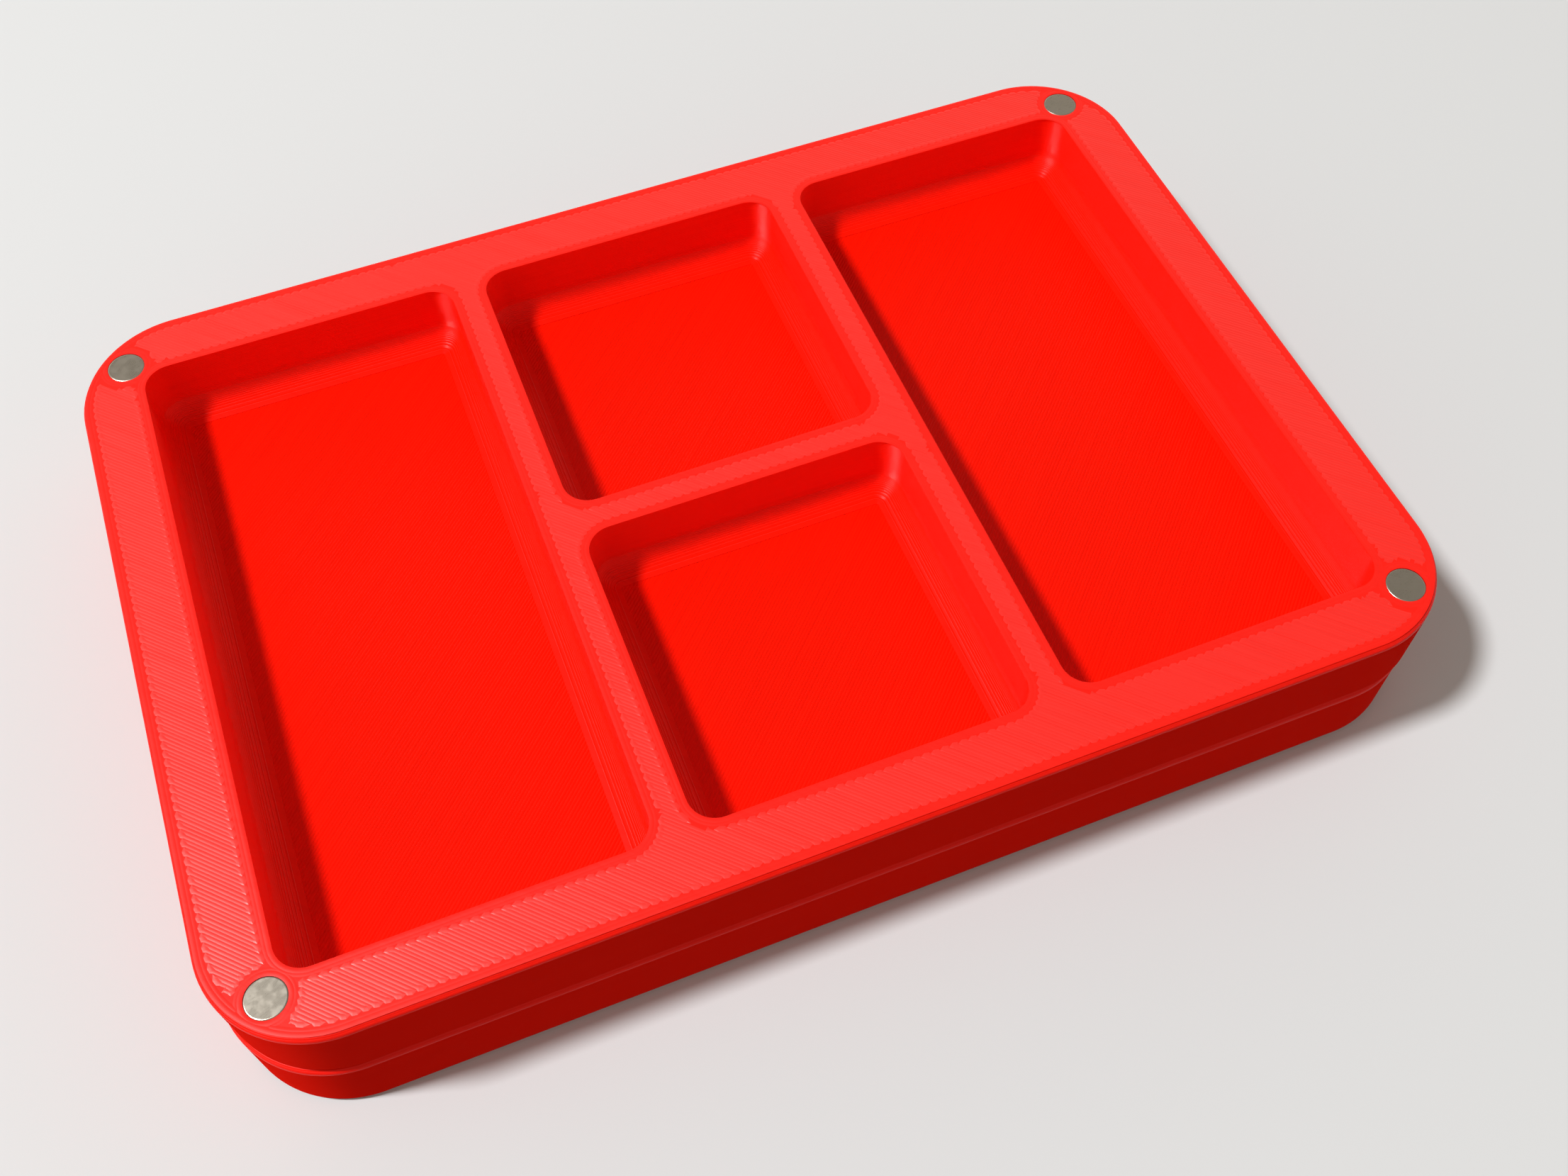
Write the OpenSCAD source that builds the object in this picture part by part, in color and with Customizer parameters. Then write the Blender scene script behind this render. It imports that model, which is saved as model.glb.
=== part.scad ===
// Stacking sorting tray: two printed trays, one on the other, held together by disc magnets
// in the corners of their rims and undersides. Each tray has two long compartments at its
// sides and a middle column that a cross divider splits in two. Millimetres, +Z up, with the
// origin at the middle of the face that the stack stands on.

/* [Tray] */
// Length of a tray, left to right
tray_l = 154; // [120:1:220]
// Width of a tray, front to back
tray_w = 107; // [80:1:160]
// Height of a tray
tray_h = 11; // [9:0.5:30]
// Radius of a tray's upright outer corners
corner_r = 14; // [9:0.5:17]
// Rounding of the rim's outer edge
edge_r = 1; // [0.4:0.1:1.2]
// Rounding of the underside's outer edge
base_r = 1; // [0.4:0.1:1.2]

/* [Compartments] */
// Width of the rim round the compartments
rim_w = 8.4; // [8:0.1:14]
// Thickness of the dividers
divider_t = 4.4; // [2:0.2:8]
// Thickness of the floor
floor_t = 1.6; // [1:0.1:4]
// Radius of the compartments' upright corners and of the sweep from their walls to the floor
scoop_r = 3.6; // [1:0.1:4.5]

/* [Magnets] */
// Diameter of a disc magnet
magnet_d = 5; // [3:0.5:6]
// Thickness of a disc magnet
magnet_t = 2; // [1:0.5:3]
// Bevel round both faces of a magnet
magnet_bevel = 0.25; // [0.1:0.05:0.4]
// Play between a magnet and the side of its pocket
pocket_play = 0.05; // [0.03:0.01:0.15]

/* [Stack] */
// How far the upper tray has settled to the right of the lower one, within the magnets' hold
settle_right = 0.4; // [0:0.1:1]

/* [Hidden] */
$fn = 96;

// Name of each corner, and which way it lies from the middle of the tray
CORNERS = [
    ["front_left", [-1, -1]],
    ["front_right", [1, -1]],
    ["back_left", [-1, 1]],
    ["back_right", [1, 1]]
];
TRAYS = ["lower", "upper"];
FACES = ["rim", "base"];

// Compartments, each as its middle, its length along X and its length along Y
inner_l = tray_l - 2 * rim_w;
inner_w = tray_w - 2 * rim_w;
column_l = (inner_l - 2 * divider_t) / 3;
short_w = (inner_w - divider_t) / 2;
column_pitch = column_l + divider_t;
short_pitch = short_w + divider_t;
COMPARTMENTS = [
    [[-column_pitch, 0], column_l, inner_w],
    [[0, -short_pitch / 2], column_l, short_w],
    [[0, short_pitch / 2], column_l, short_w],
    [[column_pitch, 0], column_l, inner_w]
];

// A magnet sits midway across the corner of the rim, between the tray's own round corner and
// the round corner of the compartment. Both are measured along the corner's diagonal, from
// where the tray's sides would meet.
round_to_square = sqrt(2) - 1;
outer_on_diagonal = corner_r * round_to_square;
inner_on_diagonal = rim_w * sqrt(2) + scoop_r * round_to_square;
magnet_inset = (outer_on_diagonal + inner_on_diagonal) / 2 / sqrt(2);
pocket_d = magnet_d + 2 * pocket_play;

// Overlap that carries a cut clear through the face it starts from
cut_through = 1;

function magnet_name(tray, face, corner) = str(tray, "_", face, "_magnet_", corner[0]);

// The two trays share the settling, so that the stack stays centred on its origin
function tray_side(tray) = tray == "upper" ? 1 : -1;
function tray_place(tray) = [
    tray_side(tray) * settle_right / 2,
    0,
    tray == "upper" ? tray_h : 0
];
function magnet_place(face, corner) = [
    corner[1].x * (tray_l / 2 - magnet_inset),
    corner[1].y * (tray_w / 2 - magnet_inset),
    face == "rim" ? tray_h - magnet_t : 0
];

// Round-cornered block on its own middle, whose walls follow a profile drawn outwards from the
// corner's axis: a quarter turn of it at each corner, and straight runs along the sides.
module profiled_block(length, width, radius, height) {
    straight_l = length - 2 * radius;
    straight_w = width - 2 * radius;
    translate([-straight_l / 2, -straight_w / 2, 0])
        cube([straight_l, straight_w, height]);
    for (turn = [0 : 3]) {
        run = turn % 2 == 0 ? straight_w : straight_l;
        reach = turn % 2 == 0 ? straight_l : straight_w;
        rotate(turn * 90) translate([reach / 2, 0, 0]) {
            translate([0, run / 2, 0]) rotate([90, 0, 0])
                linear_extrude(run) children();
            translate([0, run / 2, 0])
                rotate_extrude(angle = 90) children();
        }
    }
}

// Top of a wall's profile from the corner's axis outwards, with its edge rounded
module rounded_edge(radius) {
    square([corner_r - radius, radius]);
    translate([corner_r - radius, 0])
        intersection() {
            circle(radius);
            square(radius);
        }
}

// Wall of a tray from the corner's axis outwards, rounded at the rim and at the underside
module outer_profile() {
    translate([0, base_r]) square([corner_r, tray_h - edge_r - base_r]);
    translate([0, tray_h - edge_r]) rounded_edge(edge_r);
    translate([0, base_r]) mirror([0, 1]) rounded_edge(base_r);
}

// Wall of a compartment from the corner's axis outwards, swept round into the floor
module scoop_profile(depth) {
    translate([0, scoop_r]) square([scoop_r, depth - scoop_r]);
    translate([0, scoop_r])
        intersection() {
            circle(scoop_r);
            translate([0, -scoop_r]) square(scoop_r);
        }
}

// Space inside one compartment, carried out through the top of the tray
module compartment(length, width) {
    depth = tray_h - floor_t + cut_through;
    profiled_block(length, width, scoop_r, depth) scoop_profile(depth);
}

// Pocket of one magnet, open at the face that the magnet lies flush with
module magnet_pocket(face) {
    translate([0, 0, face == "rim" ? 0 : -cut_through])
        cylinder(d = pocket_d, h = magnet_t + cut_through);
}

module tray(name) {
    translate(tray_place(name)) color("red") difference() {
        profiled_block(tray_l, tray_w, corner_r, tray_h) outer_profile();
        for (space = COMPARTMENTS)
            translate([space[0].x, space[0].y, floor_t])
                compartment(space[1], space[2]);
        for (face = FACES, corner = CORNERS)
            translate(magnet_place(face, corner)) magnet_pocket(face);
    }
}

// Disc magnet with both edges bevelled, standing on its pocket's floor or against its roof
module magnet(tray, face, corner) {
    radius = magnet_d / 2;
    translate(tray_place(tray)) translate(magnet_place(face, corner)) color("silver")
        rotate_extrude() polygon([
            [0, 0],
            [radius - magnet_bevel, 0],
            [radius, magnet_bevel],
            [radius, magnet_t - magnet_bevel],
            [radius - magnet_bevel, magnet_t],
            [0, magnet_t]
        ]);
}

for (name = TRAYS)
    tray(name);

for (name = TRAYS, face = FACES, corner = CORNERS)
    magnet(name, face, corner);
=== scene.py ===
"""Looks of the stacking sorting tray: two printed trays, one on the other, and their disc magnets.

Each tray is drawn the way it was printed: walls in layers that step through the round edge and
the scoops, and rim, floors and underside covered with lines of plastic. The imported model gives
every place and outer size.
"""

import math

import bmesh
import bpy
import numpy as np
from mathutils import Matrix, Vector
from mathutils.geometry import tessellate_polygon


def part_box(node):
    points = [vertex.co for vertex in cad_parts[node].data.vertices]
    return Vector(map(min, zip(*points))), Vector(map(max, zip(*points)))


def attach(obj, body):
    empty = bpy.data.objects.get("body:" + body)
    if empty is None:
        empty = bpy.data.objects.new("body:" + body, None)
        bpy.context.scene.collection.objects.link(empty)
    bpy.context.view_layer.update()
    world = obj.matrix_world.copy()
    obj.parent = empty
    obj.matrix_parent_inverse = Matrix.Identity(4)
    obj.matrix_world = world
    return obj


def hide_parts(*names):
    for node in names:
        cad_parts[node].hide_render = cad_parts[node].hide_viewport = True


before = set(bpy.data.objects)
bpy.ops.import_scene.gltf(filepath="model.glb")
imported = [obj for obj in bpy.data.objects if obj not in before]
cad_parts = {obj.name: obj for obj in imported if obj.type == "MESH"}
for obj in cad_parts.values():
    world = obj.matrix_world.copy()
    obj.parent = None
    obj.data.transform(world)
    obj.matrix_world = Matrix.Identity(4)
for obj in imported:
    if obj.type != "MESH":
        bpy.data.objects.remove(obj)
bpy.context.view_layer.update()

bl_info = {
    "name": "Stacking Sorting Tray",
    "version": (1, 0, 0),
    "blender": (4, 5, 0),
    "location": "View3D > Sidebar > Sorting Tray",
    "description": "Builds the printed trays, their magnets and the stage around the packed model",
    "category": "Add Mesh",
}

MM = 0.001
TRAYS = ("lower", "upper")
FACES = ("rim", "base")
CORNERS = ("front_left", "front_right", "back_left", "back_right")
# Seeds of the walls' and the lines' small differences, each counted up from tray to tray
WALL_SEED = 20
LINE_SEED = 40

# Segments in a quarter turn of the outer corners, of the compartments' corners and of a pocket
OUTER_SEGMENTS = 24
INNER_SEGMENTS = 10
POCKET_SEGMENTS = 12
# Segments round a magnet, and points across the rounding of its edges
MAGNET_SEGMENTS = 48
BEVEL_POINTS = 5

# How a layer's edge bulges: shares of the layer's height where the bulge is full
BULGE_FROM = 0.04
BULGE_TO = 0.96
# Greatest share of a layer's height that counts as its shoulder
SHOULDER_SHARE = 0.06
# A layer leans with the wall while it covers no more than SMOOTH_STEP sideways, and stands more
# upright the further it reaches beyond that, down to a lean of LEAST_LEAN
SMOOTH_STEP = 0.13 * MM
UPRIGHT_STEP = 0.24 * MM
LEAST_LEAN = 0.65
# Shortest step in a wall's profile, and the distance within which points of a mesh are merged
LEAST_STEP = 0.001 * MM
MERGE_DISTANCE = 0.0005 * MM
# Edges of the mesh that turn by more than this are left sharp
SHARP_ANGLE = math.radians(42)
# Greatest depth of the bumps in a finish
BUMP_DEPTH = 0.01 * MM

# Direction of the lines across the rim, and of those across the floors and the underside
RIM_TURN = math.radians(-45)
FLOOR_TURN = math.radians(45)
# Sides of a line's section, and the width that it is drawn with, in line widths. Neighbours
# overlap: outlines and lines on the underside by much, lines across the rim and floors by little
WIDE_SIDES = 8
WIDE_SPREAD = 1.6
FINE_SIDES = 11
FINE_SPREAD = 1.1
# How a line's section falls away from its ridge: 1 straight down, 2 as a parabola
RIDGE_POWER = 1.6
# Depth of a line's section below its ridge, in reliefs
LINE_SEAT = 1.3
# How much a line swells where it turns back, and how far it bulges there, in line widths
TURN_SWELL = 1.85
TURN_BULGE = 0.25
# How far before its end a line starts to swell, and the most that may be of its length
TURN_LENGTH = 0.34 * MM
TURN_SHARE = 0.25
# Depth of the face that lines lie on, below the tops of their turns, in reliefs
FACE_DEPTH = TURN_SWELL + LINE_SEAT - 1
# How much deeper than its neighbours a line may lie, in reliefs: on rim and floors, underneath
UNEVEN = 0.4
BASE_UNEVEN = 0.1
# How much deeper each further kind of outline is laid, so that no two tops share a plane
OUTLINE_DROP = 0.003 * MM
BASE_DROP = OUTLINE_DROP / 3
# How far an outline may reach into another's room, in line widths
CROSSING = 0.15
# Room between the outlines and the ends of the lines across a face
LINE_GAP = 0.48 * MM
# How far the floors' lines run in under the scoops, in line widths
UNDER_SCOOP = 0.8
# Neighbouring lines are joined where their ends lie no further apart than this, in line widths
NEAR_ENDS = 3
# Step between the points at which a line is tested, and the shortest line that is laid
TEST_STEP = 0.1 * MM
SHORTEST_LINE = 0.3 * MM


# Settings

def length(name, description, millimetres):
    """Length setting, kept in metres."""
    return bpy.props.FloatProperty(
        name=name, description=description, default=millimetres * MM,
        unit="LENGTH", subtype="DISTANCE", precision=5)


def colour(name, description, value):
    """Colour setting, in linear light."""
    return bpy.props.FloatVectorProperty(
        name=name, description=description, default=value, size=3,
        min=0.0, max=1.0, subtype="COLOR")


class SortingTraySettings(bpy.types.PropertyGroup):
    """Sizes and colours of a printed tray."""

    corner_radius: length("Corner radius", "Radius of the tray's upright outer corners", 14.0)
    edge_round: length("Edge rounding", "Rounding of the rim's outer edge", 1.0)
    base_round: length("Base rounding", "Rounding of the underside's outer edge", 1.0)
    rim_width: length("Rim width", "Width of the rim round the compartments", 8.4)
    divider: length("Divider", "Thickness of the dividers", 4.4)
    floor: length("Floor", "Thickness of the floor", 1.6)
    scoop: length("Scoop radius", "Radius of the sweep from the walls to the floor", 3.6)
    pocket_play: length("Pocket play", "Play between a magnet and its pocket", 0.05)
    layer: length("Layer height", "Height of one printed layer", 0.2)
    layer_groove: length("Layer groove", "Depth of the groove between two layers", 0.012)
    layer_shift: length("Layer shift", "How far a layer may lie back from the true wall", 0.004)
    line_width: length("Line width", "Width of one printed line", 0.42)
    rim_relief: length("Rim relief", "Height of the lines across the rim", 0.012)
    outline_relief: length("Outline relief", "Height of the lines along the rim's edges", 0.017)
    floor_relief: length("Floor relief", "Height of the lines on the floors", 0.050)
    base_relief: length("Base relief", "Height of the lines under the tray", 0.014)
    outlines: bpy.props.IntProperty(
        name="Outlines", description="Lines laid along each edge of the rim and underside",
        default=2, min=1)
    plastic: colour("Plastic", "Colour of the plastic", (0.90, 0.007, 0.0003))
    plastic_deep: colour("Plastic, deep", "Colour where a line is laid thin", (0.86, 0.006, 0.0003))


class SortingMagnetSettings(bpy.types.PropertyGroup):
    """Sizes and finish of the disc magnets."""

    bevel: length("Bevel", "Rounding of a magnet's edges", 0.24)
    sink: length("Sink", "How far a magnet lies below its face", 0.035)
    tilt: bpy.props.FloatProperty(
        name="Tilt", description="Most that a magnet lies out of level in its glue",
        default=math.radians(0.6), subtype="ANGLE", unit="ROTATION")
    seed: bpy.props.IntProperty(
        name="Seed", description="Picks how each magnet lies", default=4)
    nickel: colour("Nickel", "Colour of the plating", (0.66, 0.60, 0.51))


class SortingStageSettings(bpy.types.PropertyGroup):
    """Floor, light and camera."""

    paper: colour("Floor", "Colour of the floor", (0.65, 0.66, 0.67))
    backdrop: colour("Backdrop", "Colour that the floor fades into", (0.75, 0.75, 0.74))
    key_power: bpy.props.FloatProperty(
        name="Main lamp", description="Power of the lamp at the left", default=46.5, unit="POWER")
    fill: bpy.props.FloatProperty(
        name="Fill", description="Level of the light from above", default=0.22)
    horizon: bpy.props.FloatProperty(
        name="Horizon", description="Level of the light from low down all round", default=1.22)
    sky: colour("Sky", "Colour of the light from all round", (1.0, 0.93, 0.82))
    eye: bpy.props.FloatVectorProperty(
        name="Camera", description="Place of the camera",
        default=(-0.03806, -0.118225, 0.186846), subtype="XYZ", unit="LENGTH")
    aim: bpy.props.FloatVectorProperty(
        name="Aim", description="Point that the camera looks at",
        default=(-0.000429, -0.019063, 0.022), subtype="XYZ", unit="LENGTH")
    roll: bpy.props.FloatProperty(
        name="Roll", description="Turn of the camera about its line of sight",
        default=math.radians(-0.77), subtype="ANGLE", unit="ROTATION")
    lens: bpy.props.FloatProperty(
        name="Lens", description="Focal length on a 36 mm wide sensor", default=36.73)


# Node trees

def both_ways(operation):
    """Methods for an operator and for its reflected form."""
    return (
        lambda self, other: self.math(operation, self, other),
        lambda self, other: self.math(operation, other, self))


class Socket:
    """A node's output, for sums written as Python expressions."""

    def __init__(self, graph, output):
        self.graph = graph
        self.output = output

    def math(self, operation, *terms):
        return self.graph.node(
            "ShaderNodeMath", {"operation": operation}, dict(enumerate(terms)))

    __add__, __radd__ = both_ways("ADD")
    __sub__, __rsub__ = both_ways("SUBTRACT")
    __mul__, __rmul__ = both_ways("MULTIPLY")
    __pow__, __rpow__ = both_ways("POWER")

    def __abs__(self):
        return self.math("ABSOLUTE", self)


class Graph:
    """A node tree with one way to add nodes: type, settings first, then values or links."""

    def __init__(self, tree):
        self.tree = tree

    def node(self, kind, settings=None, inputs=None, out=0):
        made = self.tree.nodes.new(kind)
        for name, value in (settings or {}).items():
            setattr(made, name, value)
        for name, value in (inputs or {}).items():
            self.feed(self.entry(made, name), value)
        return Socket(self, self.exit(made, out)) if made.outputs else made

    def feed(self, entry, value):
        """Gives an input its value or link, or a list of links where it joins several."""
        if isinstance(value, Socket):
            value = [value]
        if isinstance(value, list):
            for source in value:
                self.tree.links.new(source.output, entry)
        else:
            entry.default_value = value

    @staticmethod
    def entry(made, name):
        if isinstance(name, int):
            return made.inputs[name]
        return next(i for i in made.inputs if i.name == name and i.enabled)

    @staticmethod
    def exit(made, name):
        shown = [o for o in made.outputs if o.enabled]
        if isinstance(name, int):
            return shown[name]
        return next(o for o in shown if o.name == name)


class Finish(Graph):
    """A material around one Principled shader."""

    def __init__(self, name):
        self.material = bpy.data.materials.new(name)
        self.material.use_nodes = True
        super().__init__(self.material.node_tree)
        self.tree.nodes.clear()
        surface = self.node("ShaderNodeBsdfPrincipled")
        self.shader = surface.output.node
        self.node("ShaderNodeOutputMaterial", None, {"Surface": surface})

    def place(self):
        """Object coordinates in millimetres."""
        metres = self.node("ShaderNodeTexCoord", out="Object")
        return self.node(
            "ShaderNodeVectorMath", {"operation": "SCALE"}, {0: metres, "Scale": 1 / MM})

    def stretched(self, place, turn, size):
        """Coordinates turned about Z and divided by a size along each axis."""
        return self.node(
            "ShaderNodeMapping", {"vector_type": "TEXTURE"},
            {"Vector": place, "Rotation": (0.0, 0.0, turn), "Scale": size})

    def noise(self, place, scale, detail):
        return self.node(
            "ShaderNodeTexNoise", {"noise_dimensions": "3D"},
            {"Vector": place, "Scale": scale, "Detail": detail})

    def ramp(self, value, low, high):
        """Smooth step from 0 at low to 1 at high."""
        return self.node(
            "ShaderNodeMapRange", {"interpolation_type": "SMOOTHSTEP"},
            {"Value": value, "From Min": low, "From Max": high})

    def mix(self, factor, first, second):
        return self.node(
            "ShaderNodeMix", {"data_type": "RGBA"}, {"Factor": factor, "A": first, "B": second})

    def bump(self, strength, height):
        return self.node("ShaderNodeBump", None, {
            "Strength": strength, "Distance": BUMP_DEPTH, "Height": height})

    def set(self, **inputs):
        """Sets the shader's sockets, named with _ for a space."""
        for name, value in inputs.items():
            self.feed(self.shader.inputs[name.replace("_", " ")], value)


def opaque(rgb):
    """Colour with full alpha, as a socket takes it."""
    return (*rgb, 1.0)


class PieceTree(Graph):
    """A Geometry Nodes tree with named inputs, which a piece's mesh goes through once."""

    def __init__(self, name, inputs):
        tree = bpy.data.node_groups.new(name, "GeometryNodeTree")
        super().__init__(tree)
        tree.interface.new_socket(
            "Geometry", in_out="INPUT", socket_type="NodeSocketGeometry")
        self.identifiers = {}
        for label, kind in inputs.items():
            socket = tree.interface.new_socket(
                label, in_out="INPUT", socket_type="NodeSocket" + kind)
            self.identifiers[label] = socket.identifier
        tree.interface.new_socket(
            "Geometry", in_out="OUTPUT", socket_type="NodeSocketGeometry")
        self.source = self.node("NodeGroupInput").output.node

    def given(self, label):
        return Socket(self, self.source.outputs[label])

    def close(self, geometry):
        """Ends the tree in Realize Instances and Set Material."""
        real = self.node("GeometryNodeRealizeInstances", None, {"Geometry": geometry})
        dressed = self.node("GeometryNodeSetMaterial", None, {
            "Geometry": real, "Material": self.given("Material")})
        self.node("NodeGroupOutput", None, {"Geometry": dressed})
        return self

    def make(self, name, mesh, values):
        """Plain mesh object from a mesh that went through the tree."""
        carrier = bpy.data.objects.new(name + "_source", mesh)
        bpy.context.scene.collection.objects.link(carrier)
        modifier = carrier.modifiers.new("build", "NODES")
        modifier.node_group = self.tree
        for label, value in values.items():
            modifier[self.identifiers[label]] = value
        depsgraph = bpy.context.evaluated_depsgraph_get()
        built = bpy.data.meshes.new_from_object(
            carrier.evaluated_get(depsgraph), depsgraph=depsgraph)
        carrier.modifiers.clear()
        bpy.data.objects.remove(carrier)
        bpy.data.meshes.remove(mesh)
        if not built.polygons:
            raise RuntimeError(name + " came out of its node tree empty")
        return link(name, built)


def link(name, mesh):
    """Object in the scene that shows a mesh, both under one name."""
    mesh.name = name
    piece = bpy.data.objects.new(name, mesh)
    bpy.context.scene.collection.objects.link(piece)
    return piece


# Shapes in plan

def round_rectangle(half_x, half_y, radius, inset, segments):
    """Outline of a round-cornered rectangle, taken in by inset, counter-clockwise."""
    turn = radius - inset
    angles = np.radians(np.linspace(0, 90, segments + 1))
    points = []
    for quarter in range(4):
        side_x = 1 if quarter in (0, 3) else -1
        side_y = 1 if quarter in (0, 1) else -1
        angle = angles + quarter * math.pi / 2
        points.append(np.stack([
            side_x * (half_x - radius) + turn * np.cos(angle),
            side_y * (half_y - radius) + turn * np.sin(angle)], axis=1))
    return np.concatenate(points)


def round_rectangle_distance(x, y, half_x, half_y, radius):
    """Distance from a round-cornered rectangle's outline, negative inside it."""
    over_x = np.abs(x) - half_x + radius
    over_y = np.abs(y) - half_y + radius
    outside = np.hypot(np.maximum(over_x, 0), np.maximum(over_y, 0))
    return outside + np.minimum(np.maximum(over_x, over_y), 0) - radius


def quarter_round(rise, radius):
    """How far a quarter circle has come in at a rise above its start."""
    return radius - np.sqrt(radius ** 2 - np.clip(rise, 0, radius) ** 2)


def circle(centre, radius, segments):
    """Outline of a circle, counter-clockwise."""
    angles = np.linspace(0, 2 * math.pi, segments, endpoint=False)
    return np.stack([
        centre[0] + radius * np.cos(angles), centre[1] + radius * np.sin(angles)], axis=1)


class TrayPlan:
    """Where everything on one tray is, on the tray's own middle, in metres."""

    def __init__(self, tray, settings):
        low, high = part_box(tray + "_tray")
        self.tray = tray
        self.settings = settings
        self.middle = (low + high) / 2
        self.place = (self.middle.x, self.middle.y, low.z)
        self.height = high.z - low.z
        self.half_x = (high.x - low.x) / 2
        self.half_y = (high.y - low.y) / 2
        self.layers = round(self.height / settings.layer)
        self.floor_layers = round(settings.floor / settings.layer)
        self.floor_top = self.floor_layers * settings.layer
        column = (2 * (self.half_x - settings.rim_width) - 2 * settings.divider) / 3
        deep = 2 * (self.half_y - settings.rim_width)
        short = (deep - settings.divider) / 2
        step_x = column + settings.divider
        step_y = (short + settings.divider) / 2
        # Each compartment as its middle and half its length along X and Y
        self.compartments = [
            ((-step_x, 0.0), column / 2, deep / 2),
            ((0.0, -step_y), column / 2, short / 2),
            ((0.0, step_y), column / 2, short / 2),
            ((step_x, 0.0), column / 2, deep / 2)]
        # Each magnet's pocket as its middle, radius and depth
        self.pockets = {}
        for face in FACES:
            for corner in CORNERS:
                start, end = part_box(f"{tray}_{face}_magnet_{corner}")
                radius = (end.x - start.x) / 2 + settings.pocket_play
                self.pockets[face, corner] = (
                    (start + end) / 2 - self.middle, radius, end.z - start.z)

    def edge_inset(self, z):
        """How far the outer wall lies inside the tray's outline at a height."""
        sizes = self.settings
        at_rim = quarter_round(z - self.height + sizes.edge_round, sizes.edge_round)
        return at_rim + quarter_round(sizes.base_round - z, sizes.base_round)

    def scoop_inset(self, z):
        """How far the wall of a compartment reaches into it at a height."""
        scoop = self.settings.scoop
        return quarter_round(self.floor_top + scoop - z, scoop)

    def face_inset(self, face):
        """How far the outermost line of the rim or underside lies inside the tray's outline."""
        half_layer = self.settings.layer / 2
        return self.edge_inset(self.height - half_layer if face == "rim" else half_layer)

    def compartment_distances(self, x, y, inset):
        """Distance from each compartment's outline, taken in by inset, negative inside it."""
        radius = self.settings.scoop - inset
        return [
            round_rectangle_distance(
                x - middle[0], y - middle[1], half_x - inset, half_y - inset, radius)
            for middle, half_x, half_y in self.compartments]

    def pocket_rings(self, face):
        """Middle and radius of each pocket in a face."""
        return [(centre, radius) for (side, _corner), (centre, radius, _depth)
                in self.pockets.items() if side == face]

    def face_depth(self, face, x, y):
        """Distance from a point of the rim or underside to its nearest edge, negative off it."""
        inset = self.face_inset(face)
        depths = [-round_rectangle_distance(
            x, y, self.half_x - inset, self.half_y - inset,
            self.settings.corner_radius - inset)]
        if face == "rim":
            depths += self.compartment_distances(x, y, 0.0)
        for centre, radius in self.pocket_rings(face):
            depths.append(np.hypot(x - centre.x, y - centre.y) - radius)
        return np.min(depths, axis=0)

    def floor_depth(self, x, y):
        """Distance from a point of a floor to where the scoop's first layer covers it."""
        inset = self.scoop_inset(self.floor_top + self.settings.layer / 2)
        return -np.min(self.compartment_distances(x, y, inset), axis=0)


# Finishes

# Each finish of the plastic: direction of its lines, gloss and least roughness
PLASTICS = {
    "printed_wall": (RIM_TURN, 0.0, 0.31),
    "printed_scoop": (RIM_TURN, 0.08, 0.31),
    "printed_edge": (RIM_TURN, 0.12, 0.31),
    "printed_shoulder": (RIM_TURN, 0.8, 0.28),
    "printed_rim_face": (RIM_TURN, 0.4, 0.31),
    "printed_rim": (RIM_TURN, 1.0, 0.33),
    "printed_outline": (RIM_TURN, 0.45, 0.33),
    "printed_floor": (FLOOR_TURN, 0.08, 0.28),
}
# Finishes of a printed solid, and its material slots in the same order
SOLID_FINISHES = (
    "printed_wall", "printed_scoop", "printed_edge", "printed_shoulder", "printed_rim_face")
WALL, SCOOP, EDGE, SHOULDER, RIM_FACE = range(len(SOLID_FINISHES))

# Plastic: length of its streaks along a line and along a layer, in millimetres
LINE_STREAK = 9.0
LAYER_STREAK = 25.0
# Upward share of a face's normal between which layers' streaks give way to lines' streaks
LEVEL_FROM = 0.35
LEVEL_TO = 0.8
# Clouds and grain to the millimetre, and the detail of both
CLOUD_SCALE = 0.06
GRAIN_SCALE = 7.0
GRAIN_DETAIL = 2.0
# Share of the streaks in the tone, beside the clouds, and where the tone starts and ends to turn
STREAK_SHARE = 0.7
TONE_FROM = 0.3
TONE_TO = 0.7
# Roughness that streaks and grain add, and the strength of their bumps
STREAK_ROUGH = 0.08
GRAIN_ROUGH = 0.05
PLASTIC_BUMP = 0.2
# Nickel: blotches to the millimetre, and where a blotch starts and ends to turn dull
BLOTCH_SCALE = 0.9
BLOTCH_DETAIL = 3.0
DULL_FROM = 0.4
DULL_TO = 0.65
# Share of the plating's colour that is left where it is dull
DULL_SHADE = 0.9
# Direction of the scuffs, in radians, and their size in millimetres
SCUFF_TURN = 0.5
SCUFF_SIZE = (1.2, 0.06, 1.0)
SCUFF_DETAIL = 2.0
# Least roughness, what dull places and scuffs add to it, and the strength of the bumps
NICKEL_ROUGH = 0.24
DULL_ROUGH = 0.07
SCUFF_ROUGH = 0.08
NICKEL_BUMP = 0.3


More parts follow.
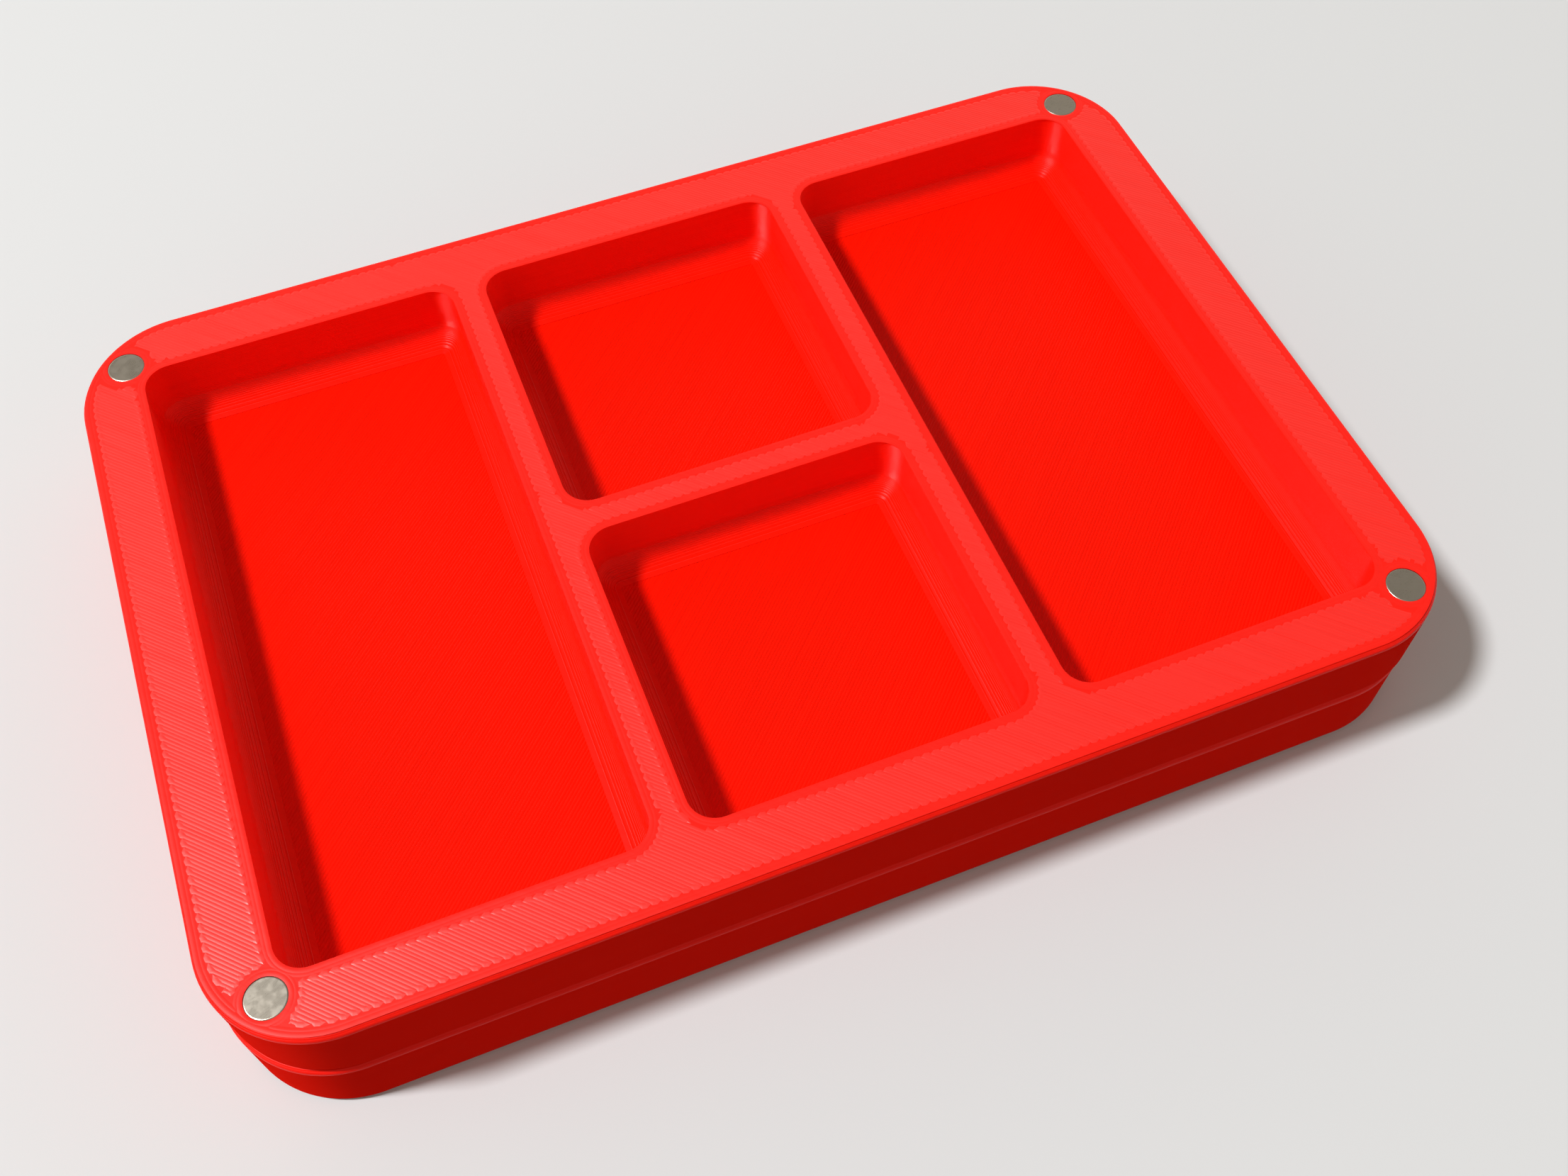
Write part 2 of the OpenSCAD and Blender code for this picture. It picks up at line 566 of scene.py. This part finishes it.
def plastic_finish(name, settings):
    """Satin printed plastic, with streaks along its layers and lines."""
    turn, gloss, rough = PLASTICS[name]
    finish = Finish(name)
    place = finish.place()
    normal = finish.node("ShaderNodeNewGeometry", out="Normal")
    upright = finish.node("ShaderNodeSeparateXYZ", None, {"Vector": normal}, out="Z")
    level = finish.ramp(abs(upright), LEVEL_FROM, LEVEL_TO)
    line_size = (LINE_STREAK, settings.line_width / MM, 1.0)
    line = finish.noise(finish.stretched(place, turn, line_size), 1.0, 1.0)
    layer_size = (LAYER_STREAK, LAYER_STREAK, settings.layer / MM)
    layer = finish.noise(finish.stretched(place, 0.0, layer_size), 1.0, 1.0)
    streak = line * level + layer * (1 - level)
    cloud = finish.noise(place, CLOUD_SCALE, GRAIN_DETAIL)
    grain = finish.noise(place, GRAIN_SCALE, GRAIN_DETAIL)
    tone = finish.ramp(
        streak * STREAK_SHARE + cloud * (1 - STREAK_SHARE), TONE_FROM, TONE_TO)
    finish.set(
        Base_Color=finish.mix(tone, opaque(settings.plastic_deep), opaque(settings.plastic)),
        Roughness=rough + streak * STREAK_ROUGH + grain * GRAIN_ROUGH,
        Specular_IOR_Level=gloss,
        Normal=finish.bump(PLASTIC_BUMP, grain + streak))
    return finish.material


def nickel_finish(name, settings):
    """Worn satin nickel plating."""
    finish = Finish(name)
    place = finish.place()
    blotch = finish.noise(place, BLOTCH_SCALE, BLOTCH_DETAIL)
    scuff = finish.noise(finish.stretched(place, SCUFF_TURN, SCUFF_SIZE), 1.0, SCUFF_DETAIL)
    dull = finish.ramp(blotch, DULL_FROM, DULL_TO)
    worn = opaque([DULL_SHADE * c for c in settings.nickel])
    finish.set(
        Base_Color=finish.mix(dull, opaque(settings.nickel), worn),
        Metallic=1.0,
        Roughness=NICKEL_ROUGH + dull * DULL_ROUGH + scuff * SCUFF_ROUGH,
        Normal=finish.bump(NICKEL_BUMP, scuff + blotch))
    return finish.material


# Printed walls

class Shell:
    """Collects the faces of one solid."""

    def __init__(self):
        self.points = []
        self.faces = []
        self.flat = []
        self.slots = []

    def add(self, points, faces, flat, slots):
        start = sum(len(p) for p in self.points)
        self.points.append(np.asarray(points))
        self.faces.extend([tuple(start + i for i in face) for face in faces])
        self.flat.extend([flat] * len(faces))
        self.slots.extend(slots)

    def wall(self, outline, profile, slots=None, flip=False):
        """Rings of an outline at each (inset, height), joined up in order."""
        rings = [outline(inset) for inset, _z in profile]
        count = len(rings[0])
        points = np.concatenate([
            np.column_stack([ring, np.full(count, z)]) for ring, (_i, z) in zip(rings, profile)])
        faces = []
        for row in range(len(profile) - 1):
            for j in range(count):
                k = (j + 1) % count
                quad = (row * count + j, row * count + k,
                        (row + 1) * count + k, (row + 1) * count + j)
                faces.append(quad[::-1] if flip else quad)
        rows = slots or [0] * (len(profile) - 1)
        self.add(points, faces, False, np.repeat(rows, count).tolist())

    def sheet(self, outlines, z, slot=0, up=True):
        """Flat face with holes: the first outline is the outer one."""
        loops = [[Vector((x, y, 0.0)) for x, y in outline] for outline in outlines]
        points = np.concatenate(outlines)
        points = np.column_stack([points, np.full(len(points), z)])
        faces = []
        for a, b, c in tessellate_polygon(loops):
            ab = points[b] - points[a]
            ac = points[c] - points[a]
            faces.append((a, b, c) if (ab[0] * ac[1] - ab[1] * ac[0] > 0) == up else (a, c, b))
        self.add(points, faces, True, [slot] * len(faces))

    def mesh(self, name, place):
        """Merged mesh, smooth along its walls and sharp at their edges."""
        mesh = bpy.data.meshes.new(name)
        points = np.concatenate(self.points) + np.array(place)
        mesh.from_pydata(points.tolist(), [], self.faces)
        mesh.polygons.foreach_set("use_smooth", [not flat for flat in self.flat])
        mesh.polygons.foreach_set("material_index", self.slots)
        work = bmesh.new()
        work.from_mesh(mesh)
        bmesh.ops.remove_doubles(work, verts=work.verts, dist=MERGE_DISTANCE)
        work.to_mesh(mesh)
        work.free()
        # Marking the sharp edges makes every face smooth, so the flat ones are set again
        smooth = [face.use_smooth for face in mesh.polygons]
        mesh.set_sharp_from_angle(angle=SHARP_ANGLE)
        mesh.polygons.foreach_set("use_smooth", smooth)
        return mesh


def layered(inset, first, last, settings, side, rng):
    """Profile of a wall printed in layers, from the bottom up, as (inset, height).

    inset gives the wall's true place at a height. side is 1 where the solid lies within the
    outline and -1 where it lies round it."""
    groove = side * settings.layer_groove
    profile = []
    for index in range(first, last):
        low = index * settings.layer
        high = low + settings.layer
        foot, middle, head = inset(np.array([low, (low + high) / 2, high]))
        reach = (abs(head - foot) - SMOOTH_STEP) / (UPRIGHT_STEP - SMOOTH_STEP)
        lean = max(1 - max(reach, 0), LEAST_LEAN)
        middle += side * rng.uniform(0, settings.layer_shift)
        foot = middle + lean * (foot - middle)
        head = middle + lean * (head - middle)
        profile.append((foot + groove, low))
        for share in (BULGE_FROM, BULGE_TO):
            profile.append((foot + share * (head - foot), low + share * settings.layer))
        profile.append((head + groove, high))
    kept = [profile[0]]
    for point in profile[1:]:
        if math.dist(point, kept[-1]) > LEAST_STEP:
            kept.append(point)
    return kept


def wall_slots(profile, settings, plain):
    """Material slot of each row of a layered wall: plain, or SHOULDER on the edges of a layer."""
    slots = []
    for (inset_a, z_a), (inset_b, z_b) in zip(profile, profile[1:]):
        rise = abs(z_b - z_a)
        edge = 0 < rise < SHOULDER_SHARE * settings.layer and abs(inset_b - inset_a) > rise
        slots.append(SHOULDER if edge else plain)
    return slots


def tray_shell(plan, rng):
    """Walls, scoops, floors, pockets and the faces that the printed lines lie on."""
    sizes = plan.settings
    shell = Shell()
    rim_face = plan.height - FACE_DEPTH * sizes.rim_relief
    floor_face = plan.floor_top - FACE_DEPTH * sizes.floor_relief
    base_face = FACE_DEPTH * sizes.base_relief

    def outer(inset):
        return round_rectangle(
            plan.half_x, plan.half_y, sizes.corner_radius, inset, OUTER_SEGMENTS)

    profile = layered(plan.edge_inset, 0, plan.layers, sizes, 1, rng)
    profile[0] = (profile[0][0], base_face)
    profile[-1] = (profile[-1][0], rim_face)
    straight = [row for row in profile if row[1] < plan.height - sizes.edge_round]
    rounded = len(profile) - 1 - len(straight)
    slots = wall_slots(profile, sizes, WALL)[:len(straight)] + [EDGE] * rounded
    shell.wall(outer, profile, slots)
    holes = {face: [] for face in FACES}
    for middle, half_x, half_y in plan.compartments:
        def inner(inset):
            return round_rectangle(half_x, half_y, sizes.scoop, inset, INNER_SEGMENTS) + middle

        walls = layered(plan.scoop_inset, plan.floor_layers, plan.layers, sizes, -1, rng)
        walls[0] = (walls[0][0], floor_face)
        walls[-1] = (walls[-1][0], rim_face)
        shell.wall(inner, walls[::-1], wall_slots(walls[::-1], sizes, SCOOP))
        shell.sheet([inner(walls[0][0])], floor_face, SCOOP)
        holes["rim"].append(inner(walls[-1][0]))
    for (face, _corner), (centre, radius, depth) in plan.pockets.items():
        ring = circle(centre, radius, 4 * POCKET_SEGMENTS)
        mouth, bottom = (rim_face, plan.height - depth) if face == "rim" else (base_face, depth)
        shell.wall(lambda _inset: ring, [(0, mouth), (0, bottom)], [SCOOP])
        shell.sheet([ring], bottom, SCOOP, up=face == "rim")
        holes[face].append(ring)
    shell.sheet([outer(profile[-1][0])] + holes["rim"], rim_face, RIM_FACE)
    shell.sheet([outer(profile[0][0])] + holes["base"], base_face, WALL, up=False)
    return shell.mesh(plan.tray + "_tray_print", plan.place)


# Printed lines

class LinePaths:
    """Paths of the printer's nozzle on one face, with how much each point swells."""

    def __init__(self):
        self.points = []
        self.edges = []
        self.swell = []

    def add(self, points, swell, closed):
        start = len(self.points)
        count = len(points)
        self.points.extend(points)
        self.swell.extend(swell)
        self.edges.extend((start + i, start + i + 1) for i in range(count - 1))
        if closed:
            self.edges.append((start + count - 1, start))

    def clear_runs(self, outline, clear, z):
        """Adds a closed outline, or only the stretches of it that are clear."""
        points = [(x, y, z) for x, y in outline]
        if clear.all():
            self.add(points, [1.0] * len(points), True)
            return
        first = int(np.argmin(clear))
        run = []
        for index in range(first, first + len(points) + 1):
            place = index % len(points)
            if clear[place]:
                run.append(points[place])
            elif run:
                self.add(run, [1.0] * len(run), False)
                run = []

    def mesh(self, name, place):
        mesh = bpy.data.meshes.new(name)
        points = np.array(self.points) + np.array(place)
        mesh.from_pydata(points.tolist(), self.edges, [])
        mesh.attributes.new("swell", "FLOAT", "POINT").data.foreach_set("value", self.swell)
        return mesh


def strokes(plan, depth, along, across, margin):
    """Stretches of parallel lines that lie at least margin inside a face.

    Gives the offset of each line and its stretches, each as its two ends along the line."""
    reach = math.hypot(plan.half_x, plan.half_y)
    marks = np.arange(-reach, reach, TEST_STEP)
    rows = []
    for offset in np.arange(-reach, reach, plan.settings.line_width):
        x = across[0] * offset + along[0] * marks
        y = across[1] * offset + along[1] * marks
        room = depth(x, y) - margin
        inside = room > 0
        changes = np.flatnonzero(inside[1:] != inside[:-1])
        share = room[changes] / (room[changes] - room[changes + 1])
        ends = marks[changes] + share * TEST_STEP
        pairs = [(a, b) for a, b in zip(ends[::2], ends[1::2]) if b - a > SHORTEST_LINE]
        rows.append((offset, pairs))
    return rows


def follows(run, pair, near):
    """Whether both ends of a stretch lie near those of a run's last stretch."""
    _offset, last = run[-1]
    return abs(last[0] - pair[0]) < near and abs(last[1] - pair[1]) < near


def joined(rows, near):
    """Runs of stretches on neighbouring lines that follow one another."""
    open_runs = []
    finished = []
    for offset, pairs in rows:
        following = []
        for pair in pairs:
            run = next((r for r in open_runs if follows(r, pair, near)), None)
            if run:
                open_runs.remove(run)
            else:
                run = []
            run.append((offset, pair))
            following.append(run)
        finished.extend(open_runs)
        open_runs = following
    return finished + open_runs


def zigzags(plan, depth, turn, margin, level, spread, rng):
    """Lines laid back and forth over a face, turning at its edges."""
    pitch = plan.settings.line_width
    along = np.array([math.cos(turn), math.sin(turn)])
    across = np.array([-along[1], along[0]])
    paths = LinePaths()
    for run in joined(strokes(plan, depth, along, across, margin), NEAR_ENDS * pitch):
        points = []
        swell = []
        for index, (offset, pair) in enumerate(run):
            forward = index % 2 == 0
            start, end = pair if forward else pair[::-1]
            z = level - rng.uniform(0, spread)
            if points:
                bulge = TURN_BULGE * pitch * (-1 if forward else 1)
                middle = (start + last_end) / 2 + bulge
                points.append((*(across * (offset - pitch / 2) + along * middle), z))
                swell.append(TURN_SWELL)
            swelling = min(TURN_LENGTH, TURN_SHARE * abs(end - start))
            inward = math.copysign(swelling, end - start)
            for mark, size in ((start, TURN_SWELL), (start + inward, 1.0),
                               (end - inward, 1.0), (end, TURN_SWELL)):
                points.append((*(across * offset + along * mark), z))
                swell.append(size)
            last_end = end
        paths.add(points, swell, False)
    return paths


def print_line_tree():
    """Tree that turns nozzle paths into lines of plastic with a rounded ridge.

    The Y axis of a line's section points down once it is swept along the path."""
    tree = PieceTree("Printed Lines", {
        "Sides": "Int", "Width": "Float", "Relief": "Float", "Material": "Material"})
    curve = tree.node("GeometryNodeMeshToCurve", None, {"Mesh": tree.given("Geometry")})
    curve = tree.node("GeometryNodeSetCurveNormal", {"mode": "Z_UP"}, {"Curve": curve})
    span = tree.node("GeometryNodeCurvePrimitiveLine", None, {
        "Start": (-1.0, 0.0, 0.0), "End": (1.0, 0.0, 0.0)})
    span = tree.node("GeometryNodeResampleCurve", {"mode": "COUNT"}, {
        "Curve": span, "Count": tree.given("Sides")})
    place = tree.node("GeometryNodeInputPosition")
    across = tree.node("ShaderNodeSeparateXYZ", None, {"Vector": place}, out="X")
    fall = LINE_SEAT * abs(across) ** RIDGE_POWER - 1
    bent = tree.node("ShaderNodeCombineXYZ", None, {"X": across, "Y": fall})
    ridge = tree.node("GeometryNodeSetPosition", None, {"Geometry": span, "Position": bent})
    ring = tree.node("GeometryNodeSetSplineCyclic", None, {"Geometry": ridge, "Cyclic": True})
    size = tree.node("ShaderNodeCombineXYZ", None, {
        "X": tree.given("Width") * 0.5, "Y": tree.given("Relief"), "Z": 1.0})
    section = tree.node("GeometryNodeTransform", None, {"Geometry": ring, "Scale": size})
    swell = tree.node(
        "GeometryNodeInputNamedAttribute", {"data_type": "FLOAT"}, {"Name": "swell"})
    lines = tree.node("GeometryNodeCurveToMesh", None, {
        "Curve": curve, "Profile Curve": section, "Scale": swell, "Fill Caps": True})
    flat = tree.node(
        "GeometryNodeSetShadeSmooth", None, {"Geometry": lines, "Shade Smooth": False})
    return tree.close(flat)


def outline_paths(plan, face, level, drop):
    """Outlines along a face's edges, left out where they would cross each other."""
    sizes = plan.settings
    paths = LinePaths()
    inset = plan.face_inset(face)
    for number in range(sizes.outlines):
        step = (number + 0.5) * sizes.line_width
        outer = [round_rectangle(
            plan.half_x, plan.half_y, sizes.corner_radius, inset + step, 2 * OUTER_SEGMENTS)]
        inner = [round_rectangle(half_x, half_y, sizes.scoop, -step, INNER_SEGMENTS) + middle
                 for middle, half_x, half_y in plan.compartments if face == "rim"]
        rings = [circle(centre, radius + step, 4 * POCKET_SEGMENTS)
                 for centre, radius in plan.pocket_rings(face)]
        kinds = (outer, inner, rings)
        for kind, loops in enumerate(kinds):
            z = level + drop * (kind + len(kinds) * number)
            for loop in loops:
                room = plan.face_depth(face, loop[:, 0], loop[:, 1]) - step
                paths.clear_runs(loop, room > -CROSSING * sizes.line_width, z)
    return paths


def rim_outlines(plan, _rng):
    """Outlines along the rim's edges."""
    return outline_paths(
        plan, "rim", plan.height - plan.settings.outline_relief, -OUTLINE_DROP)


def base_outlines(plan, _rng):
    """Outlines of the underside's first layer."""
    return outline_paths(plan, "base", plan.settings.base_relief, BASE_DROP)


def face_lines(plan, face, turn, level, spread, rng):
    """Lines across a rim or an underside, between its outlines."""
    sizes = plan.settings
    margin = sizes.outlines * sizes.line_width + LINE_GAP
    return zigzags(
        plan, lambda x, y: plan.face_depth(face, x, y), turn, margin, level, spread, rng)


def rim_lines(plan, rng):
    """Lines across the rim."""
    relief = plan.settings.rim_relief
    level = plan.height - relief * TURN_SWELL
    return face_lines(plan, "rim", RIM_TURN, level, UNEVEN * relief, rng)


def base_lines(plan, rng):
    """Lines across the underside."""
    relief = plan.settings.base_relief
    spread = BASE_UNEVEN * relief
    return face_lines(plan, "base", FLOOR_TURN, relief * TURN_SWELL + spread, spread, rng)


def floor_lines(plan, rng):
    """Lines across the compartments' floors, running in under the scoops."""
    relief = plan.settings.floor_relief
    margin = -UNDER_SCOOP * plan.settings.line_width
    level = plan.floor_top - relief * TURN_SWELL
    return zigzags(plan, plan.floor_depth, FLOOR_TURN, margin, level, UNEVEN * relief, rng)


# Magnets

def disc(radius, thickness, bevel):
    """Disc on its own middle, with both edges rounded."""
    half = thickness / 2
    turns = np.radians(np.linspace(0, 90, BEVEL_POINTS))
    edge = [(radius - bevel + bevel * math.sin(a), half - bevel + bevel * math.cos(a))
            for a in turns]
    profile = edge + [(r, -z) for r, z in reversed(edge)]

    def ring(reach):
        return circle((0, 0), reach, MAGNET_SEGMENTS)

    shell = Shell()
    shell.wall(ring, profile, flip=True)
    shell.sheet([ring(profile[0][0])], half)
    shell.sheet([ring(profile[-1][0])], -half, up=False)
    return shell.mesh("magnet_disc", (0, 0, 0))


def magnet_tree():
    """Tree that sets a disc at the four corners of a rim and of an underside."""
    tree = PieceTree("Corner Magnets", {
        "Spacing X": "Float", "Spacing Y": "Float", "Middle": "Vector", "Rise": "Float",
        "Tilt": "Float", "Seed": "Int", "Material": "Material"})
    corners = tree.node("GeometryNodeMeshGrid", None, {
        "Size X": tree.given("Spacing X"), "Size Y": tree.given("Spacing Y"),
        "Vertices X": 2, "Vertices Y": 2}, out="Mesh")
    base = tree.node("GeometryNodeSetPosition", None, {
        "Geometry": corners, "Offset": tree.given("Middle")})
    lift = tree.node("ShaderNodeCombineXYZ", None, {"Z": tree.given("Rise")})
    rim = tree.node("GeometryNodeSetPosition", None, {"Geometry": base, "Offset": lift})
    both = tree.node("GeometryNodeJoinGeometry", None, {"Geometry": [rim, base]})
    tilt = tree.given("Tilt")
    most = tree.node("ShaderNodeCombineXYZ", None, {"X": tilt, "Y": tilt, "Z": math.pi})
    least = tree.node(
        "ShaderNodeVectorMath", {"operation": "SCALE"}, {0: most, "Scale": -1.0})
    turn = tree.node("FunctionNodeRandomValue", {"data_type": "FLOAT_VECTOR"}, {
        "Min": least, "Max": most, "Seed": tree.given("Seed")})
    set_in = tree.node("GeometryNodeInstanceOnPoints", None, {
        "Points": both, "Instance": tree.given("Geometry"), "Rotation": turn})
    return tree.close(set_in)


# Stage

# Main lamp: where it stands and its size
KEY_PLACE = (-1.14, 0.15, 1.84)
KEY_SIZE = 0.28
# Half the floor's width, and how far from the middle it starts and ends to fade, in metres
FLOOR_HALF = 4.0
FADE_FROM = 0.3
FADE_TO = 1.0
FLOOR_ROUGH = 0.9
# Share of the floor's colour that it throws back onto the object
FLOOR_BOUNCE = 0.06
# Sines of the heights between which the light from low down gives way to that from above
HORIZON_FROM = 0.1
HORIZON_TO = 0.66
# How much stronger the light from low down is at the back, and weaker in front, than at the sides
BACK_LEAN = 0.2
# Camera: width of its sensor in millimetres, and the nearest and furthest that it sees, in metres
SENSOR_WIDTH = 36.0
NEAREST = 0.01
FURTHEST = 20.0


def add_sky(settings):
    """Light from all round, strongest low down. The eye sees the pale backdrop instead."""
    world = bpy.data.worlds.new("studio")
    world.use_nodes = True
    graph = Graph(world.node_tree)
    graph.tree.nodes.clear()
    way = graph.node("ShaderNodeTexCoord", out="Generated")
    rise = graph.node("ShaderNodeSeparateXYZ", None, {"Vector": way}, out="Z")
    back = graph.node("ShaderNodeSeparateXYZ", None, {"Vector": way}, out="Y")
    level = graph.node(
        "ShaderNodeMapRange", {"interpolation_type": "SMOOTHSTEP"},
        {"Value": rise, "From Min": HORIZON_FROM, "From Max": HORIZON_TO,
         "To Min": settings.horizon * (1 + BACK_LEAN * back), "To Max": settings.fill})
    light = graph.node(
        "ShaderNodeBackground", None, {"Color": opaque(settings.sky), "Strength": level})
    backdrop = graph.node("ShaderNodeBackground", None, {"Color": opaque(settings.backdrop)})
    seen = graph.node("ShaderNodeLightPath", out="Is Camera Ray")
    sky = graph.node("ShaderNodeMixShader", None, {0: seen, 1: light, 2: backdrop})
    graph.node("ShaderNodeOutputWorld", None, {"Surface": sky})
    return world


def add_floor(settings):
    """Wide pale floor that fades into the backdrop.

    It is pale to the eye and in reflections, and throws back less light."""
    mesh = bpy.data.meshes.new("floor")
    corners = [(x * FLOOR_HALF, y * FLOOR_HALF, 0.0)
               for x, y in ((-1, -1), (1, -1), (1, 1), (-1, 1))]
    mesh.from_pydata(corners, [], [(0, 1, 2, 3)])
    floor = link("floor", mesh)
    finish = Finish("floor_paper")
    eye = finish.node("ShaderNodeLightPath", out="Is Camera Ray")
    glossy = finish.node("ShaderNodeLightPath", out="Is Glossy Ray")
    clear = finish.node("ShaderNodeLightPath", out="Is Transmission Ray")
    seen = finish.node("ShaderNodeClamp", None, {"Value": eye + glossy + clear})
    dark = opaque([FLOOR_BOUNCE * c for c in settings.paper])
    black = opaque((0, 0, 0))
    reach = finish.node(
        "ShaderNodeVectorMath", {"operation": "LENGTH"}, {0: finish.place()}, out="Value")
    far = eye * finish.ramp(reach * MM, FADE_FROM, FADE_TO)
    lit = finish.mix(seen, dark, opaque(settings.paper))
    finish.set(
        Base_Color=finish.mix(far, lit, black), Roughness=FLOOR_ROUGH, Specular_IOR_Level=0.0,
        Emission_Color=finish.mix(far, black, opaque(settings.backdrop)), Emission_Strength=1.0)
    mesh.materials.append(finish.material)
    return floor


def aim(place, target, roll=0.0):
    """Matrix of a lamp or camera at a place, looking at a target."""
    back = (Vector(place) - Vector(target)).normalized()
    level = Vector((0, 0, 1)).cross(back).normalized()
    rise = back.cross(level)
    right = level * math.cos(roll) + rise * math.sin(roll)
    up = back.cross(right)
    turn = Matrix((right, up, back)).transposed().to_4x4()
    return Matrix.Translation(place) @ turn


# Operators

class SORTING_OT_stage(bpy.types.Operator):
    """Add the floor, the lamp, the light from all round and the camera"""

    bl_idname = "sorting_tray.stage"
    bl_label = "Stage"

    def execute(self, context):
        settings = context.scene.sorting_stage
        scene = context.scene
        add_floor(settings)
        lamp = bpy.data.lights.new("main_lamp", "AREA")
        lamp.shape = "DISK"
        lamp.size = KEY_SIZE
        lamp.energy = settings.key_power
        lamp_piece = bpy.data.objects.new("main_lamp", lamp)
        lamp_piece.matrix_world = aim(KEY_PLACE, (0, 0, 0))
        scene.collection.objects.link(lamp_piece)
        scene.world = add_sky(settings)
        camera = bpy.data.cameras.new("camera")
        camera.sensor_fit = "HORIZONTAL"
        camera.sensor_width = SENSOR_WIDTH
        camera.lens = settings.lens
        camera.clip_start = NEAREST
        camera.clip_end = FURTHEST
        eye = bpy.data.objects.new("camera", camera)
        eye.matrix_world = aim(settings.eye, settings.aim, settings.roll)
        scene.collection.objects.link(eye)
        scene.camera = eye
        scene.view_settings.view_transform = "Standard"
        return {"FINISHED"}


class SORTING_OT_trays(bpy.types.Operator):
    """Build the layered walls, scoops and floors of both trays"""

    bl_idname = "sorting_tray.trays"
    bl_label = "Printed Trays"

    def execute(self, context):
        settings = context.scene.sorting_tray
        finishes = [plastic_finish(name, settings) for name in SOLID_FINISHES]
        for number, tray in enumerate(TRAYS):
            plan = TrayPlan(tray, settings)
            mesh = tray_shell(plan, np.random.default_rng(WALL_SEED + number))
            for finish in finishes:
                mesh.materials.append(finish)
            piece = link(mesh.name, mesh)
            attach(piece, tray)
            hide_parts(tray + "_tray")
        return {"FINISHED"}


class SORTING_OT_lines(bpy.types.Operator):
    """Lay the printed lines on the rims, floors and undersides of both trays"""

    bl_idname = "sorting_tray.lines"
    bl_label = "Printed Lines"

    def execute(self, context):
        settings = context.scene.sorting_tray
        tree = print_line_tree()
        rim = plastic_finish("printed_rim", settings)
        edge = plastic_finish("printed_outline", settings)
        floor = plastic_finish("printed_floor", settings)
        # A negative width and relief turn the section over, so that its ridge points down
        kinds = {
            "rim_outlines": (rim_outlines, WIDE_SIDES, WIDE_SPREAD, settings.outline_relief, edge),
            "rim_lines": (rim_lines, FINE_SIDES, FINE_SPREAD, settings.rim_relief, rim),
            "floor_lines": (floor_lines, FINE_SIDES, FINE_SPREAD, settings.floor_relief, floor),
            "base_outlines": (
                base_outlines, WIDE_SIDES, -WIDE_SPREAD, -settings.base_relief, floor),
            "base_lines": (base_lines, WIDE_SIDES, -WIDE_SPREAD, -settings.base_relief, floor)}
        for number, tray in enumerate(TRAYS):
            plan = TrayPlan(tray, settings)
            for kind, (paths, sides, spread, relief, finish) in kinds.items():
                rng = np.random.default_rng(LINE_SEED + number)
                name = f"{tray}_{kind}"
                piece = tree.make(name, paths(plan, rng).mesh(name + "_paths", plan.place), {
                    "Sides": sides, "Width": spread * settings.line_width,
                    "Relief": relief, "Material": finish})
                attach(piece, tray)
        return {"FINISHED"}


class SORTING_OT_magnets(bpy.types.Operator):
    """Set the disc magnets into the rims and undersides"""

    bl_idname = "sorting_tray.magnets"
    bl_label = "Magnets"

    def execute(self, context):
        settings = context.scene.sorting_magnets
        tree = magnet_tree()
        finish = nickel_finish("nickel_plating", settings)
        for number, tray in enumerate(TRAYS):
            nodes = {face: [f"{tray}_{face}_magnet_{corner}" for corner in CORNERS]
                     for face in FACES}
            low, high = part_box(nodes["base"][0])
            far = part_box(nodes["base"][-1])[0]
            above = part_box(nodes["rim"][0])[0]
            thickness = high.z - low.z
            middle = Vector((
                (far.x + high.x) / 2, (far.y + high.y) / 2, low.z + thickness / 2))
            mesh = disc((high.x - low.x) / 2, thickness - 2 * settings.sink, settings.bevel)
            mesh.materials.append(finish)
            piece = tree.make(tray + "_magnets", mesh, {
                "Spacing X": far.x - low.x, "Spacing Y": far.y - low.y, "Middle": middle,
                "Rise": above.z - low.z, "Tilt": settings.tilt,
                "Seed": settings.seed + number, "Material": finish})
            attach(piece, tray)
            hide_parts(*nodes["base"], *nodes["rim"])
        return {"FINISHED"}


class SORTING_PT_panel(bpy.types.Panel):
    """Lists the tray's settings and operators"""

    bl_idname = "SORTING_PT_panel"
    bl_label = "Sorting Tray"
    bl_space_type = "VIEW_3D"
    bl_region_type = "UI"
    bl_category = "Sorting Tray"

    def draw(self, context):
        for operator, group in STEPS:
            box = self.layout.box()
            box.operator(operator.bl_idname)
            settings = getattr(context.scene, group)
            for name in settings.__annotations__:
                box.prop(settings, name)


STEPS = (
    (SORTING_OT_stage, "sorting_stage"),
    (SORTING_OT_trays, "sorting_tray"),
    (SORTING_OT_lines, "sorting_tray"),
    (SORTING_OT_magnets, "sorting_magnets"),
)
GROUPS = {
    "sorting_tray": SortingTraySettings,
    "sorting_magnets": SortingMagnetSettings,
    "sorting_stage": SortingStageSettings,
}
CLASSES = (*GROUPS.values(), *(operator for operator, _group in STEPS), SORTING_PT_panel)


def register():
    for item in CLASSES:
        bpy.utils.register_class(item)
    for name, group in GROUPS.items():
        setattr(bpy.types.Scene, name, bpy.props.PointerProperty(type=group))


def unregister():
    for name in GROUPS:
        delattr(bpy.types.Scene, name)
    for item in reversed(CLASSES):
        bpy.utils.unregister_class(item)


def main():
    register()
    bpy.ops.sorting_tray.stage()
    bpy.ops.sorting_tray.trays()
    bpy.ops.sorting_tray.lines()
    bpy.ops.sorting_tray.magnets()


if __name__ == "__main__":
    main()
